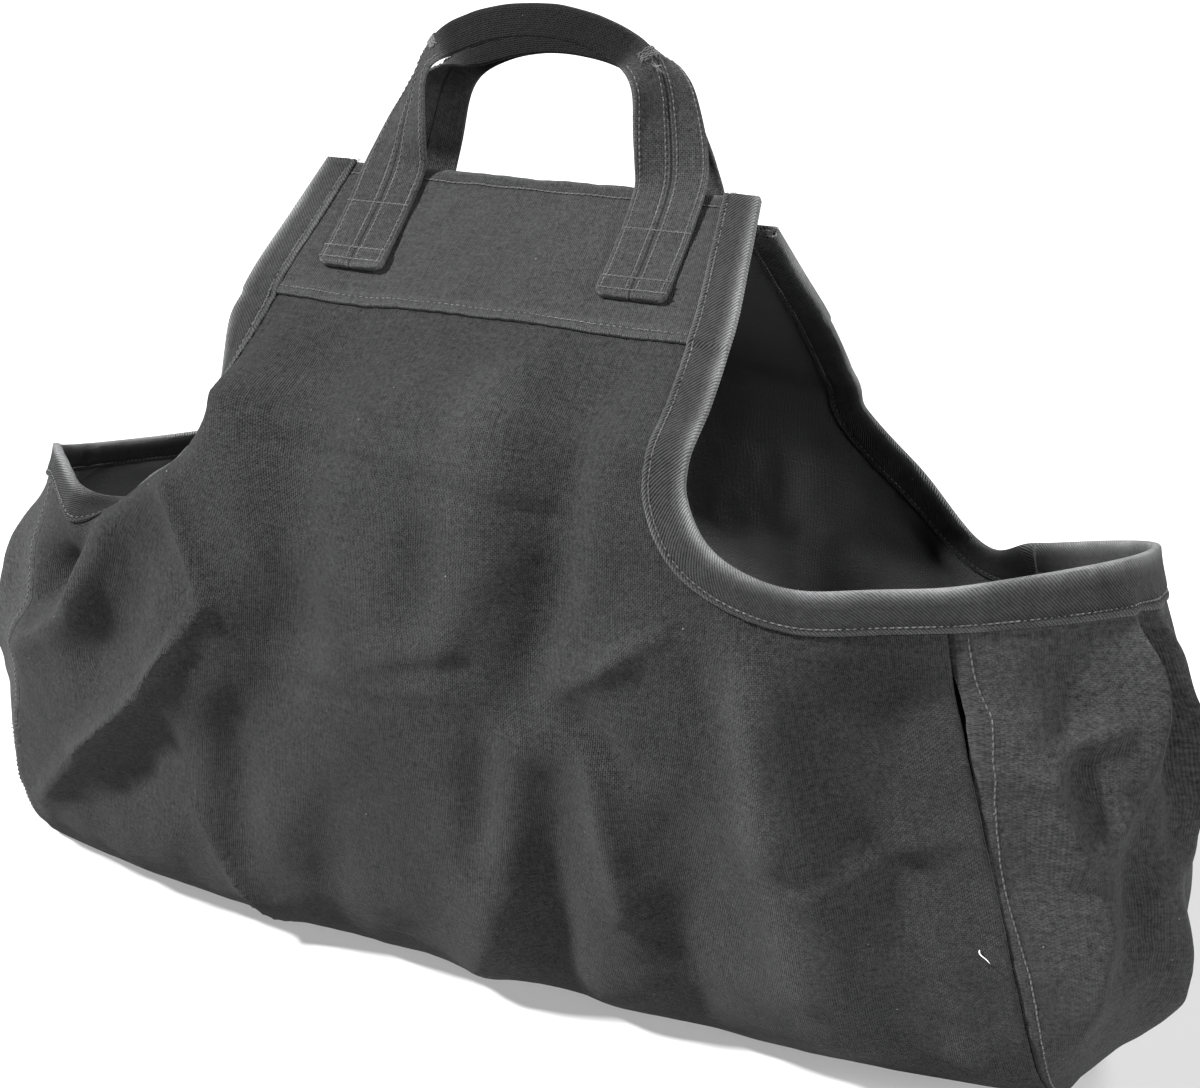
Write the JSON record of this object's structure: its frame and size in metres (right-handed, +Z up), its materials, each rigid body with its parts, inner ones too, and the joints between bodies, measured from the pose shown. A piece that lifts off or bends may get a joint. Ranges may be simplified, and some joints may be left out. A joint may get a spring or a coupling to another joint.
{
  "type": "canvas log carrier",
  "caption": "Open canvas bag for firewood, with tall waisted flaps, bound rims, rounded end gussets and flat strap handles that arch above the flaps.",
  "frame": {"origin": "under the middle of the bag's bounding box, on the surface that the bag stands on", "axes": "+X along the bag's length towards its right end, +Y from the front flap to the back flap, +Z up"},
  "size_m": [0.6846, 0.2944, 0.498],
  "materials": {
    "canvas": "matt charcoal canvas",
    "gusset_canvas": "matt charcoal canvas",
    "tape": "matt charcoal twill",
    "strap": "matt charcoal canvas"
  },
  "bodies": {
    "root": {"body_panel": "canvas", "end_gusset_left": "gusset_canvas", "end_gusset_right": "gusset_canvas", "rim_tape_left": "tape", "rim_tape_right": "tape", "top_facing_front": "canvas", "top_facing_back": "canvas", "handle_front": "strap", "handle_back": "strap"}
  },
  "joints": []
}
